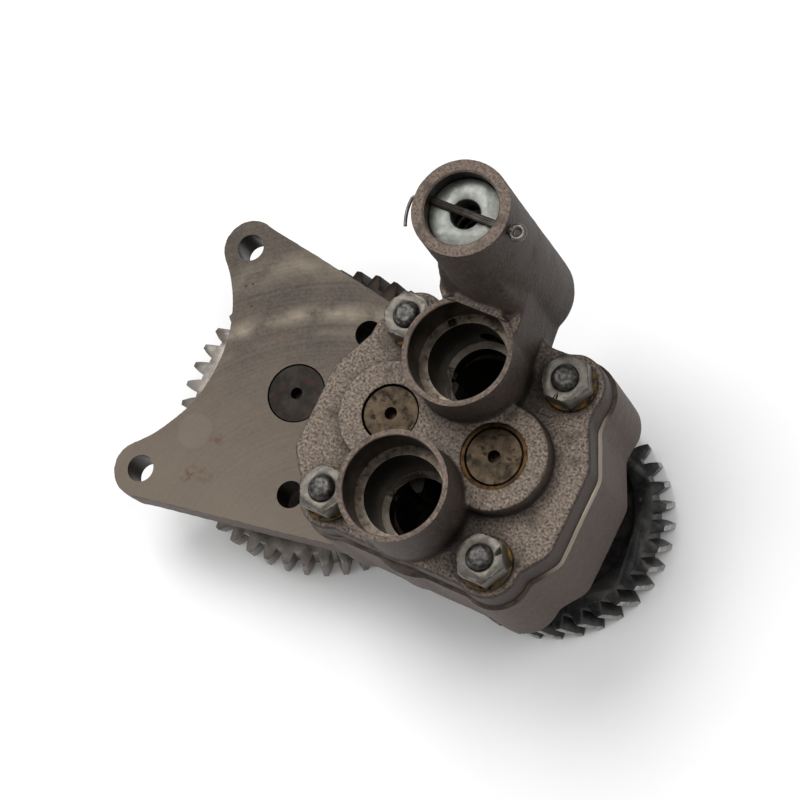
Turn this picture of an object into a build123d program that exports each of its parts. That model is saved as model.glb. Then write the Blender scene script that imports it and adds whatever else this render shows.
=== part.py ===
from build123d import *
import os
from math import acos, atan, cos, degrees, pi, radians, sin, sqrt, tan

# Gear-type engine oil pump, in millimetres. +X runs from the ears to the drive shaft and +Z
# points from the engine, past the pump cover, to the open ends of its two pipe sockets. The
# pieces are drawn with the shafts on the X axis. At the end they move up together, so that the
# origin is midway between the two ear bolts, on the plane of the mounting pads.

# --- Driving dimensions ---------------------------------------------------------------------

# Mounting plate
ear_span = 99.0            # between the two ear bolts
shaft_line_y = 2.4         # how far the shafts' line lies above the middle of the bolts
ear_r = 11.5
mount_hole_d = 11.0        # clearance for M10
inner_bolt_x = 63.2
inner_bolt_span = 70.0
plate_thick = 14.0
plate_waist_x = 10.0       # where the hollow edge between the ears comes nearest to the body
plate_end_y = 45.0         # half the plate's width where it runs into the body
plate_rim = 7.0
pocket_depth = 6.0
rib_width = 6.0
pad_r = 10.5
low_boss_wall = 5.0        # round the blind end of the driven spindle
low_boss_height = 6.0
spindle_foot_z = -3.0

# Timing gears, helical: the idler gear turns the drive gear
timing_module = 2.5
helix_angle = 16.0
timing_pressure = 20.0
idler_teeth = 46
drive_teeth = 34
gear_width = 18.0
gear_front_z = -18.0
tooth_play = 0.12
idler_x = 46.5

# Pump gears, straight
pump_centres = 43.2
pump_module = 3.5
pump_teeth = 12
pump_pressure = 20.0
pump_gear_width = 31.9
pump_tip_r = 25.1
pump_root_r = 17.3
pump_phase = 8.0           # degrees
chamber_gap = 0.08         # round the tips of the pump gears
end_gap = 0.05             # at each end of a turning gear

# Casing
joint_z = 43.0             # where the cover meets the body
flange_thick = 14.0
boss_height = 8.0
boss_r = 20.5
casing_half_width = 54.0
shoulder_half_width = 46.0
shoulder_y = 26.0
side_top_y = 10.0
side_bottom_y = -24.0
body_step = 1.5            # how far the body stands out past the cover
cast_edge_r = 1.6
stud_pitch_x = 66.0
stud_pitch_y = 71.0
lug_r = 12.5
lug_blend = 4.0
stud_offset = 1.0          # from the middle of the pump to the middle of the studs
corner_r = 6.0             # of the casing's outline
top_edge_drop = 1.5        # from the tops of the lugs to the edge between them

# Pipe sockets
socket_y = 26.6
socket_bore_d = 36.8
socket_outer_d = 41.0
socket_height = 29.5       # above the flange
socket_depth = 14.5
ledge_hole_d = 30.0
lower_ledge_z = 50.0       # the half ledge above the gears
lower_ledge_hole_d = 24.4
notch_width = 3.0          # in the upper socket's ledge
notch_depth = 3.0
notch_turn = 137.0         # degrees
root_fillet_r = 2.5
port_r = 13.0
port_y = 24.0
port_floor_rise = 4.0      # above the floor of the gear chamber
port_bulge = 3.0           # the body's wall past the lower socket's
port_bulge_z = 18.0

# Relief valve
tower_web_drop = 1.0       # from the socket's rim down to the web beside the tower
tower_x = 127.5
tower_y = 63.5
tower_r = 17.5             # at its rim
tower_foot_r = 18.5        # at the joint: the pattern's draft
tower_foot_edge_r = 2.5
tower_foot_y = 45.5        # the near face of the tower's squared foot
tower_foot_left_x = 110.0
tower_foot_right_x = 145.6
tower_foot_corner_r = 5.0
tower_foot_height = 23.0
tower_foot_taper = 12.0    # degrees
tower_blend_r = 7.0        # between the tower and the flange
web_root = 15.5            # half the web's width at the middle of the tower
web_left_x = 111.5
web_right_x = 146.4
web_right_y = 37.5
tower_top_z = 136.0
valve_bore_d = 26.4
valve_seat_z = 61.0
valve_port_d = 16.0
valve_port_depth = 11.5
passage_d = 10.0
passage_drop = 5.5         # from the seat down to the passage
spill_hole_d = 9.0
spill_hole_rise = 6.5
valve_slide_gap = 0.05
plunger_length = 30.0
plunger_wall = 2.8
plunger_chamfer = 1.0
cap_thick = 4.0
cap_recess = 6.0           # from the rim of the tower to the top of the cap
cap_hole_d = 10.4
cap_spigot = 2.5
cap_spigot_wall = 2.2
spring_wire_d = 2.6
spring_turns = 8
spring_gap = 0.5
split_pin_d = 2.5
eye_r = 2.2
leg_bend_r = 1.8
leg_gap = 2.4              # between the bent leg and the tower
leg_turn = 28.0            # degrees
pin_hole_gap = 0.15

# Shafts and bushes
spindle_d = 22.0
bush_wall = 1.5
shaft_gap = 0.04
shaft_recess = 0.8         # from the cover's boss down to the spindle ends
centre_hole_d = 4.8
centre_hole_depth = 5.0
spindle_chamfer = 0.8
bush_inset = 0.5           # from a bush's end to the face beside it
bearing_boss_r = 19.0
bearing_boss_z = -14.5
gear_seat_d = 20.0
gear_thread_d = 18.0
drive_hub_r = 17.0
drive_rim_r = 34.0
gear_nut_flats = 27.0
gear_nut_height = 7.0
gear_washer_thick = 1.5
gear_nut_inset = 0.5       # from the back of the teeth to the gear nut
thread_end_gap = 0.3
drive_web_hollow = 3.0
idler_shaft_d = 24.0
idler_bush_wall = 2.0
idler_hub_r = 21.0
idler_rim_r = 47.0
idler_web_thick = 8.0
lightening_hole_d = 16.0
lightening_holes = 6
thrust_washer_thick = 2.0
thrust_washer_r = 19.0
clip_thick = 1.5
clip_depth = 1.1
clip_height = 3.5
clip_opening = 8.0
idler_shaft_sink = 0.3     # below the face of the plate
idler_shaft_chamfer = 0.6
idler_back_inset = 0.5     # from the back of the teeth to the retaining ring

# Fasteners
stud_d = 10.0
stud_depth = 24.0
nut_flats = 17.0
nut_height = 8.0
washer_d = 20.0
washer_thick = 2.0
stud_past_nut = 2.5
dowel_d = 8.0
dowel_length = 18.0
dowel_x = 46.0             # from the middle of the pump
dowel_y = -19.0
stud_chamfer = 1.0
key_width = 5.0
key_height = 5.0
gear_key_length = 8.0
pump_key_length = 22.0

# --- Worked out from these -----------------------------------------------------------------

timing_transverse = timing_module / cos(radians(helix_angle))
idler_pitch_r = timing_transverse * idler_teeth / 2
drive_pitch_r = timing_transverse * drive_teeth / 2
drive_x = idler_x + idler_pitch_r + drive_pitch_r
driven_x = drive_x - pump_centres
pump_x = (drive_x + driven_x) / 2
drive_axis = (drive_x, 0)
driven_axis = (driven_x, 0)
idler_axis = (idler_x, 0)
ears = [(0, end * ear_span / 2 - shaft_line_y) for end in (1, -1)]
inner_bolts = [(inner_bolt_x, end * inner_bolt_span / 2 - shaft_line_y) for end in (1, -1)]
studs = [
    (pump_x + stud_offset + side * stud_pitch_x / 2, end * stud_pitch_y / 2)
    for side in (-1, 1)
    for end in (-1, 1)
]
top_edge_y = stud_pitch_y / 2 + lug_r - top_edge_drop
dowels = [(pump_x - dowel_x, dowel_y), (pump_x + dowel_x, dowel_y)]
sockets = [(pump_x, socket_y), (pump_x, -socket_y)]
tower = (tower_x, tower_y)
cap_top_z = tower_top_z - cap_recess
cap_z = cap_top_z - cap_thick
pin_z = cap_top_z + split_pin_d / 2 + end_gap

gear_back_z = gear_front_z - gear_width
chamber_r = pump_tip_r + chamber_gap
chamber_floor_z = joint_z - pump_gear_width - 2 * end_gap
pump_gear_z = chamber_floor_z + end_gap
flange_z = joint_z + flange_thick
boss_z = flange_z + boss_height
socket_top_z = flange_z + socket_height
spindle_top_z = boss_z - shaft_recess
spindle_r = spindle_d / 2
bush_r = spindle_r + bush_wall
key_depth = key_height / 2

up = (Align.CENTER, Align.CENTER, Align.MIN)
down = (Align.CENTER, Align.CENTER, Align.MAX)


def place(axis, level):
    """The point at a height on an upright axis."""
    return (axis[0], axis[1], level)


# --- Gear teeth ----------------------------------------------------------------------------


def involute(angle):
    return tan(angle) - angle


def polar(radius, angle):
    return (radius * cos(angle), radius * sin(angle))


def gear_face(level, teeth, pitch_r, pressure, half_tooth, root_r, tip_r, phase):
    """A gear's section about Z: involute flanks, and arcs at the tips and in the gaps.

    half_tooth is half of one tooth's angle at the pitch circle, and phase is the angle of the
    first tooth. Angles are in radians.
    """
    base_r = pitch_r * cos(pressure)
    start_r = max(base_r, root_r)
    steps = 3
    radii = [start_r + (tip_r - start_r) * step / steps for step in range(steps + 1)]

    def half(radius):
        return half_tooth + involute(pressure) - involute(acos(min(1.0, base_r / radius)))

    with BuildSketch(Plane.XY.offset(level)) as section:
        with BuildLine():
            for number in range(teeth):
                middle = phase + 2 * pi * number / teeth
                following = middle + 2 * pi / teeth
                rising = [polar(radius, middle - half(radius)) for radius in radii]
                falling = [polar(radius, middle + half(radius)) for radius in reversed(radii)]
                Spline(*rising)
                ThreePointArc(rising[-1], polar(tip_r, middle), falling[0])
                Spline(*falling)
                gap_middle = polar(root_r, middle + pi / teeth)
                ThreePointArc(falling[-1], gap_middle, polar(start_r, following - half(start_r)))
        make_face()
    return section.sketch


def timing_teeth(teeth, pitch_r, turn, phase):
    """The toothed blank of a helical timing gear. turn is +1 or -1, the way that its teeth lean."""
    pressure = atan(tan(radians(timing_pressure)) / cos(radians(helix_angle)))
    half_tooth = (pi * timing_transverse / 2 - tooth_play / 2) / (2 * pitch_r)
    root_r = pitch_r - 1.25 * timing_module
    tip_r = pitch_r + timing_module
    section = gear_face(gear_back_z, teeth, pitch_r, pressure, half_tooth, root_r, tip_r, phase)
    twist = turn * degrees(gear_width * tan(radians(helix_angle)) / pitch_r)
    centre = (0, 0, gear_back_z)
    return Solid.extrude_linear_with_rotation(section.faces()[0], centre, (0, 0, gear_width), twist)


def pump_gear_section(phase):
    """The section of a pump gear, its teeth shifted outward to suit the pump's centres."""
    pressure = radians(pump_pressure)
    pitch_r = pump_module * pump_teeth / 2
    working = acos(2 * pitch_r * cos(pressure) / pump_centres)
    shift = pump_teeth * (involute(working) - involute(pressure)) / (2 * tan(pressure))
    thickness = pump_module * (pi / 2 + 2 * shift * tan(pressure)) - tooth_play / 2
    half_tooth = thickness / (2 * pitch_r)
    return gear_face(
        pump_gear_z, pump_teeth, pitch_r, pressure, half_tooth, pump_root_r, pump_tip_r, phase
    )


# --- Shared outlines -----------------------------------------------------------------------


def casing_outline(level, growth):
    """The outline that the body and the cover share, grown outward by an amount."""
    right = [
        (pump_x, stud_pitch_y / 2),
        (pump_x + shoulder_half_width, stud_pitch_y / 2),
        (pump_x + shoulder_half_width, shoulder_y),
        (pump_x + casing_half_width, side_top_y),
        (pump_x + casing_half_width, side_bottom_y),
        (pump_x + stud_pitch_x / 2 + lug_r, -stud_pitch_y / 2),
        (pump_x, -stud_pitch_y / 2),
    ]
    left = [(2 * pump_x - x, y) for x, y in reversed(right[1:-1])]
    with BuildSketch(Plane.XY.offset(level)) as outline:
        with BuildLine():
            Polyline(*right, *left, close=True)
        make_face()
        fillet(outline.vertices(), radius=corner_r)
        with Locations((pump_x, 0)):
            Rectangle(stud_pitch_x, 2 * top_edge_y)
        with Locations(*studs):
            Circle(lug_r)
        offset(amount=lug_blend + growth)
        offset(amount=-lug_blend)
    return outline.sketch


def plate_outline(level):
    """The mounting plate: two ears, a hollow edge between them and straight sides to the body."""
    ear_y = ear_span / 2
    waist_r = (plate_waist_x**2 + ear_y**2 - ear_r**2) / (2 * (ear_r + plate_waist_x))
    waist_centre_x = plate_waist_x - waist_r
    reach = ear_r / (waist_r + ear_r)
    meet = (waist_centre_x * reach, ear_y * (1 - reach))
    lug = (pump_x - stud_pitch_x / 2, plate_end_y)
    with BuildSketch(Plane((0, -shaft_line_y, level))) as outline:
        with BuildLine():
            Polyline(
                meet,
                (0, ear_y),
                (0, ear_y + ear_r),
                lug,
                (lug[0], -lug[1]),
                (0, -ear_y - ear_r),
                (0, -ear_y),
                (meet[0], -meet[1]),
                close=True,
            )
        make_face()
        with Locations((0, ear_y), (0, -ear_y)):
            Circle(ear_r)
        with Locations((waist_centre_x, 0)):
            Circle(waist_r, mode=Mode.SUBTRACT)
    return outline.sketch


# --- Pump body: gear chamber and mounting plate in one casting --------------------------------

with BuildPart() as pump_body:
    add(casing_outline(0, body_step))
    extrude(amount=joint_z)
    add(plate_outline(0))
    extrude(amount=plate_thick)
    # The round wall below the lower socket
    with Locations(place(sockets[1], port_bulge_z)):
        Cylinder(socket_outer_d / 2 + port_bulge, joint_z - port_bulge_z, align=up)
    # The pockets in the back of the plate, between its rim, its pads and its ribs
    with BuildSketch(Plane.XY):
        add(plate_outline(0))
        offset(amount=-plate_rim)
        add(casing_outline(0, body_step), mode=Mode.SUBTRACT)
        with Locations(*ears, *inner_bolts):
            Circle(pad_r, mode=Mode.SUBTRACT)
        with Locations(idler_axis):
            Circle(bearing_boss_r, mode=Mode.SUBTRACT)
        with Locations(idler_axis):
            Rectangle(2 * idler_x, rib_width, mode=Mode.SUBTRACT)
            Rectangle(rib_width, 2 * ear_span, mode=Mode.SUBTRACT)
    extrude(amount=pocket_depth, mode=Mode.SUBTRACT)
    # Bearing bosses on the back for the drive shaft and the idler, and a low one for the spindle
    with Locations(place(drive_axis, bearing_boss_z), place(idler_axis, bearing_boss_z)):
        Cylinder(bearing_boss_r, -bearing_boss_z, align=up)
    with Locations(place(driven_axis, 0)):
        Cylinder(spindle_r + low_boss_wall, low_boss_height, align=down)
    # The gear chamber and its two ports
    with BuildSketch(Plane.XY.offset(joint_z)):
        with Locations(drive_axis, driven_axis):
            Circle(chamber_r)
    extrude(amount=chamber_floor_z - joint_z, mode=Mode.SUBTRACT)
    with BuildSketch(Plane.XY.offset(joint_z)):
        with Locations((pump_x, port_y), (pump_x, -port_y)):
            Circle(port_r)
    extrude(amount=chamber_floor_z + port_floor_rise - joint_z, mode=Mode.SUBTRACT)
    # Bores for the drive shaft's bush, the driven spindle and the idler shaft
    with Locations(place(drive_axis, bearing_boss_z)):
        Cylinder(bush_r, joint_z - bearing_boss_z, align=up, mode=Mode.SUBTRACT)
    with Locations(place(driven_axis, spindle_foot_z)):
        Cylinder(spindle_r, joint_z - spindle_foot_z, align=up, mode=Mode.SUBTRACT)
    with Locations(place(idler_axis, bearing_boss_z)):
        Cylinder(idler_shaft_d / 2, plate_thick - bearing_boss_z, align=up, mode=Mode.SUBTRACT)
    with Locations(*[place(spot, 0) for spot in ears + inner_bolts]):
        Cylinder(mount_hole_d / 2, plate_thick, align=up, mode=Mode.SUBTRACT)
    with Locations(*[place(spot, joint_z) for spot in studs]):
        Cylinder(stud_d / 2, stud_depth, align=down, mode=Mode.SUBTRACT)
    with Locations(*[place(spot, joint_z) for spot in dowels]):
        Cylinder(dowel_d / 2, dowel_length / 2, align=down, mode=Mode.SUBTRACT)
pump_body.part.label = "pump_body"

# --- Pump cover: flange, spindle boss, two pipe sockets and the relief valve tower -----------

def root_fillet(axis, level, wall_r):
    """The hollow cast fillet where a round wall stands on a face."""
    with BuildPart() as ring:
        with BuildSketch(Plane((axis[0], axis[1], level), x_dir=(1, 0, 0), z_dir=(0, -1, 0))):
            with BuildLine():
                Polyline(
                    (wall_r, root_fillet_r),
                    (wall_r - root_fillet_r, root_fillet_r),
                    (wall_r - root_fillet_r, 0),
                    (wall_r + root_fillet_r, 0),
                )
                RadiusArc((wall_r + root_fillet_r, 0), (wall_r, root_fillet_r), root_fillet_r)
            make_face()
        revolve(axis=Axis((axis[0], axis[1], level), (0, 0, 1)))
    return ring.part


root_fillets = [root_fillet(spot, flange_z, socket_outer_d / 2) for spot in sockets]

with BuildPart() as pump_cover:
    # The flange, with a blend where it meets the tower
    with BuildSketch(Plane.XY.offset(joint_z)):
        with Locations(tower):
            Circle(tower_r)
        with Locations((pump_x, socket_y)):
            Rectangle(stud_pitch_x, top_edge_y - socket_y, align=(Align.CENTER, Align.MIN))
        offset(amount=tower_blend_r)
        offset(amount=-tower_blend_r)
        add(casing_outline(joint_z, 0))
    extrude(amount=flange_thick)
    fillet(pump_cover.faces().sort_by(Axis.Z)[-1].outer_wire().edges(), radius=cast_edge_r)
    with BuildSketch(Plane.XY.offset(flange_z)):
        with Locations((pump_x, 0)):
            SlotCenterToCenter(pump_centres, 2 * boss_r)
    extrude(amount=boss_height)
    fillet(pump_cover.faces().sort_by(Axis.Z)[-1].outer_wire().edges(), radius=cast_edge_r)
    with BuildSketch(Plane.XY.offset(joint_z)):
        with Locations(*sockets):
            Circle(socket_outer_d / 2)
    extrude(amount=flange_thick + socket_height)
    add(root_fillets)
    # The tower, which narrows upward and has a rounded lower edge
    with BuildSketch(Plane((tower_x, tower_y, joint_z), x_dir=(1, 0, 0), z_dir=(0, -1, 0))):
        with BuildLine():
            Polyline(
                (tower_foot_r - tower_foot_edge_r, 0),
                (0, 0),
                (0, tower_top_z - joint_z),
                (tower_r, tower_top_z - joint_z),
                (tower_foot_r, tower_foot_edge_r),
            )
            RadiusArc(
                (tower_foot_r, tower_foot_edge_r),
                (tower_foot_r - tower_foot_edge_r, 0),
                tower_foot_edge_r,
            )
        make_face()
    revolve(axis=Axis((tower_x, tower_y, 0), (0, 0, 1)))
    # The web that joins the tower to the upper socket, and the tower's squared foot on it
    web_z = socket_top_z - tower_web_drop
    with BuildSketch(Plane.XY.offset(joint_z)):
        with BuildLine():
            Polyline(
                (tower_x - web_root, tower_y),
                (tower_foot_left_x, tower_foot_y + tower_foot_corner_r),
                (web_left_x, tower_foot_y),
                (pump_x, socket_y),
                (web_right_x, web_right_y),
                (tower_x + web_root, tower_y),
                close=True,
            )
        make_face()
    extrude(amount=web_z - joint_z)
    with BuildSketch(Plane.XY.offset(web_z)) as foot:
        with BuildLine():
            Polyline(
                (tower_x - web_root, tower_y),
                (tower_foot_left_x, tower_foot_y),
                (tower_foot_right_x, tower_foot_y),
                (tower_x + web_root, tower_y),
                close=True,
            )
        make_face()
        fillet(foot.vertices().sort_by(Axis.Y)[:2], radius=tower_foot_corner_r)
    extrude(amount=tower_foot_height, taper=tower_foot_taper)
    # Each socket: a bore down to a ledge, and a smaller hole down to a half ledge, which is open
    # towards the gears
    with Locations(*[place(spot, socket_top_z) for spot in sockets]):
        Cylinder(socket_bore_d / 2, socket_depth, align=down, mode=Mode.SUBTRACT)
        Cylinder(ledge_hole_d / 2, socket_top_z - lower_ledge_z, align=down, mode=Mode.SUBTRACT)
    with BuildSketch(Plane.XY.offset(joint_z)):
        with Locations(*sockets):
            Circle(ledge_hole_d / 2)
        with Locations((pump_x, 0)):
            Rectangle(2 * socket_bore_d, 2 * socket_y, mode=Mode.INTERSECT)
        with Locations(*sockets):
            Circle(lower_ledge_hole_d / 2)
    extrude(amount=lower_ledge_z - joint_z, mode=Mode.SUBTRACT)
    # The notch in the upper ledge
    with Locations(Location(place(sockets[0], socket_top_z - socket_depth), notch_turn)):
        with Locations(((socket_bore_d + ledge_hole_d) / 4, 0)):
            Box(notch_width, notch_width, 2 * notch_depth, mode=Mode.SUBTRACT)
    # The valve bore, its port and the passage from the upper socket
    with Locations(place(tower, tower_top_z)):
        Cylinder(valve_bore_d / 2, tower_top_z - valve_seat_z, align=down, mode=Mode.SUBTRACT)
    with Locations(place(tower, valve_seat_z)):
        Cylinder(valve_port_d / 2, valve_port_depth, align=down, mode=Mode.SUBTRACT)
    with Locations(Plane((tower_x, tower_y, valve_seat_z - passage_drop), z_dir=(0, -1, 0))):
        Cylinder(passage_d / 2, tower_y - socket_y, align=up, mode=Mode.SUBTRACT)
    # The split pin's two holes
    with Locations(Plane((tower_x, tower_y, pin_z), z_dir=(1, 0, 0))):
        Cylinder(split_pin_d / 2 + pin_hole_gap, 3 * tower_r, mode=Mode.SUBTRACT)
    # The spill hole that the plunger uncovers
    with Locations(Plane((tower_x, tower_y, valve_seat_z + spill_hole_rise), z_dir=(0, 1, 0))):
        Cylinder(spill_hole_d / 2, 2 * tower_r, align=up, mode=Mode.SUBTRACT)
    # Bores for the drive shaft's bush, the spindle, the studs and the dowels
    with Locations(place(drive_axis, boss_z)):
        Cylinder(bush_r, boss_z - joint_z, align=down, mode=Mode.SUBTRACT)
    with Locations(place(driven_axis, boss_z)):
        Cylinder(spindle_r, boss_z - joint_z, align=down, mode=Mode.SUBTRACT)
    with Locations(*[place(spot, flange_z) for spot in studs]):
        Cylinder(stud_d / 2, flange_thick, align=down, mode=Mode.SUBTRACT)
    with Locations(*[place(spot, joint_z) for spot in dowels]):
        Cylinder(dowel_d / 2, dowel_length / 2, align=up, mode=Mode.SUBTRACT)
pump_cover.part.label = "pump_cover"

# --- Shafts, bushes and keys -----------------------------------------------------------------

hub_front_z = bearing_boss_z - 2 * end_gap - thrust_washer_thick
hub_back_z = gear_back_z + gear_washer_thick + gear_nut_height + gear_nut_inset
gear_seat_r = gear_seat_d / 2
gear_key_z = (hub_front_z + hub_back_z - gear_key_length) / 2
pump_key_z = pump_gear_z + (pump_gear_width - pump_key_length) / 2
key_x = drive_x + spindle_r - key_depth
gear_key_x = drive_x + gear_seat_r - key_depth


def centre_drilling(axis, level):
    """The small centre hole in the end of a shaft."""
    with Locations(place(axis, level)):
        Cylinder(centre_hole_d / 2, centre_hole_depth, align=down, mode=Mode.SUBTRACT)


def key_block(x, bottom, length, mode=Mode.ADD):
    """A parallel key, or the slot that it lies in."""
    with Locations((x, 0, bottom)):
        Box(key_height, key_width, length, align=(Align.MIN, Align.CENTER, Align.MIN), mode=mode)


with BuildPart() as drive_shaft:
    with Locations(place(drive_axis, hub_front_z)):
        Cylinder(spindle_r, spindle_top_z - hub_front_z, align=up)
    top_edge = drive_shaft.edges().filter_by(GeomType.CIRCLE).sort_by(Axis.Z)[-1]
    chamfer(top_edge, length=spindle_chamfer)
    with Locations(place(drive_axis, hub_front_z)):
        Cylinder(gear_seat_r, hub_front_z - hub_back_z, align=down)
    with Locations(place(drive_axis, hub_back_z)):
        Cylinder(gear_thread_d / 2, hub_back_z - gear_back_z - thread_end_gap, align=down)
    centre_drilling(drive_axis, spindle_top_z)
    key_block(key_x, pump_key_z, pump_key_length, Mode.SUBTRACT)
    key_block(gear_key_x, gear_key_z, gear_key_length, Mode.SUBTRACT)
drive_shaft.part.label = "drive_shaft"

with BuildPart() as pump_gear_key:
    key_block(key_x, pump_key_z, pump_key_length)
pump_gear_key.part.label = "pump_gear_key"

with BuildPart() as drive_gear_key:
    key_block(gear_key_x, gear_key_z, gear_key_length)
drive_gear_key.part.label = "drive_gear_key"


def sleeve(axis, bottom, top, outer_r, inner_r, label):
    """A plain bush or washer."""
    with BuildPart() as ring:
        with Locations(place(axis, bottom)):
            Cylinder(outer_r, top - bottom, align=up)
            Cylinder(inner_r, top - bottom, align=up, mode=Mode.SUBTRACT)
    ring.part.label = label
    return ring.part


running_r = spindle_r + shaft_gap
cover_bush = sleeve(
    drive_axis, joint_z + bush_inset, spindle_top_z, bush_r, running_r, "cover_bush"
)
body_bush = sleeve(
    drive_axis,
    bearing_boss_z + bush_inset,
    chamber_floor_z - bush_inset,
    bush_r,
    running_r,
    "body_bush",
)

with BuildPart() as driven_spindle:
    with Locations(place(driven_axis, spindle_foot_z)):
        Cylinder(spindle_r, spindle_top_z - spindle_foot_z, align=up)
    top_edge = driven_spindle.edges().filter_by(GeomType.CIRCLE).sort_by(Axis.Z)[-1]
    chamfer(top_edge, length=spindle_chamfer)
    centre_drilling(driven_axis, spindle_top_z)
driven_spindle.part.label = "driven_spindle"

idler_r = idler_shaft_d / 2
idler_hub_front_z = bearing_boss_z - thrust_washer_thick - 2 * end_gap
idler_hub_back_z = gear_back_z + thrust_washer_thick + clip_thick + idler_back_inset
clip_z = idler_hub_back_z - thrust_washer_thick - 2 * end_gap - clip_thick

with BuildPart() as idler_shaft:
    with Locations(place(idler_axis, gear_back_z + idler_shaft_sink)):
        Cylinder(idler_r, plate_thick - gear_back_z - 2 * idler_shaft_sink, align=up)
    top_edges = idler_shaft.edges().filter_by(GeomType.CIRCLE).group_by(Axis.Z)[-1]
    chamfer(top_edges, length=idler_shaft_chamfer)
    centre_drilling(idler_axis, plate_thick - idler_shaft_sink)
    with Locations(place(idler_axis, clip_z)):
        Cylinder(idler_r + 1, clip_thick, align=up, mode=Mode.SUBTRACT)
        Cylinder(idler_r - clip_depth, clip_thick, align=up)
idler_shaft.part.label = "idler_shaft"

# --- Pump gears ------------------------------------------------------------------------------

phase = radians(pump_phase)

with BuildPart() as pump_driving_gear:
    add(pump_gear_section(phase).move(Location((drive_x, 0, 0))))
    extrude(amount=pump_gear_width)
    with Locations(place(drive_axis, pump_gear_z)):
        Cylinder(spindle_r, pump_gear_width, align=up, mode=Mode.SUBTRACT)
    key_block(key_x, pump_key_z, pump_key_length, Mode.SUBTRACT)
pump_driving_gear.part.label = "pump_driving_gear"

driven_bush_r = spindle_r + shaft_gap + bush_wall
with BuildPart() as pump_driven_gear:
    add(pump_gear_section(pi / pump_teeth - phase).move(Location((driven_x, 0, 0))))
    extrude(amount=pump_gear_width)
    with Locations(place(driven_axis, pump_gear_z)):
        Cylinder(driven_bush_r, pump_gear_width, align=up, mode=Mode.SUBTRACT)
pump_driven_gear.part.label = "pump_driven_gear"
driven_gear_bush = sleeve(
    driven_axis,
    pump_gear_z,
    pump_gear_z + pump_gear_width,
    driven_bush_r,
    running_r,
    "driven_gear_bush",
)

# --- Timing gears ----------------------------------------------------------------------------

with BuildPart() as drive_gear:
    add(timing_teeth(drive_teeth, drive_pitch_r, -1, 0).move(Location((drive_x, 0, 0))))
    # The hub stands proud of the front face; both faces are hollowed out to a web
    with Locations(place(drive_axis, gear_front_z)):
        Cylinder(drive_hub_r, hub_front_z - gear_front_z, align=up)
    with BuildSketch(Plane.XY.offset(gear_front_z)):
        with Locations(drive_axis):
            Circle(drive_rim_r)
            Circle(drive_hub_r, mode=Mode.SUBTRACT)
    extrude(amount=-drive_web_hollow, mode=Mode.SUBTRACT)
    with Locations(place(drive_axis, gear_back_z)):
        Cylinder(drive_rim_r, hub_back_z - gear_back_z, align=up, mode=Mode.SUBTRACT)
    with Locations(place(drive_axis, gear_back_z)):
        Cylinder(gear_seat_r, hub_front_z - gear_back_z, align=up, mode=Mode.SUBTRACT)
    key_block(gear_key_x, gear_key_z, gear_key_length, Mode.SUBTRACT)
drive_gear.part.label = "drive_gear"

idler_bush_r = idler_r + shaft_gap + idler_bush_wall
idler_web_z = (gear_front_z + gear_back_z - idler_web_thick) / 2
with BuildPart() as idler_gear:
    add(timing_teeth(idler_teeth, idler_pitch_r, 1, pi / idler_teeth).move(Location((idler_x, 0, 0))))
    with Locations(place(idler_axis, gear_front_z)):
        Cylinder(idler_hub_r, idler_hub_front_z - gear_front_z, align=up)
    for level, depth in (
        (gear_front_z, idler_web_z + idler_web_thick - gear_front_z),
        (gear_back_z, idler_web_z - gear_back_z),
    ):
        with BuildSketch(Plane.XY.offset(level)):
            with Locations(idler_axis):
                Circle(idler_rim_r)
                Circle(idler_hub_r, mode=Mode.SUBTRACT)
        extrude(amount=depth, mode=Mode.SUBTRACT)
    with Locations(place(idler_axis, gear_back_z)):
        Cylinder(idler_hub_r, idler_hub_back_z - gear_back_z, align=up, mode=Mode.SUBTRACT)
        Cylinder(idler_bush_r, idler_hub_front_z - gear_back_z, align=up, mode=Mode.SUBTRACT)
    with Locations(place(idler_axis, idler_web_z)):
        with PolarLocations((idler_rim_r + idler_hub_r) / 2, lightening_holes):
            Cylinder(lightening_hole_d / 2, idler_web_thick, align=up, mode=Mode.SUBTRACT)
idler_gear.part.label = "idler_gear"
idler_bush = sleeve(
    idler_axis, idler_hub_back_z, idler_hub_front_z, idler_bush_r, idler_r + shaft_gap, "idler_bush"
)
idler_front_washer = sleeve(
    idler_axis,
    bearing_boss_z - thrust_washer_thick,
    bearing_boss_z,
    thrust_washer_r,
    idler_r + shaft_gap,
    "idler_front_washer",
)
idler_back_washer = sleeve(
    idler_axis,
    idler_hub_back_z - 2 * end_gap - thrust_washer_thick,
    idler_hub_back_z - 2 * end_gap,
    thrust_washer_r,
    idler_r + shaft_gap,
    "idler_back_washer",
)

# The retaining ring, open at one side to spring into its groove
with BuildPart() as idler_clip:
    with BuildSketch(Plane.XY.offset(clip_z)):
        with Locations(idler_axis):
            Circle(idler_r + clip_height)
            Circle(idler_r - clip_depth, mode=Mode.SUBTRACT)
        with Locations((idler_x + idler_r, 0)):
            Rectangle(2 * idler_r, clip_opening, mode=Mode.SUBTRACT)
    extrude(amount=clip_thick)
idler_clip.part.label = "idler_clip"

# --- Fasteners -------------------------------------------------------------------------------


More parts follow.
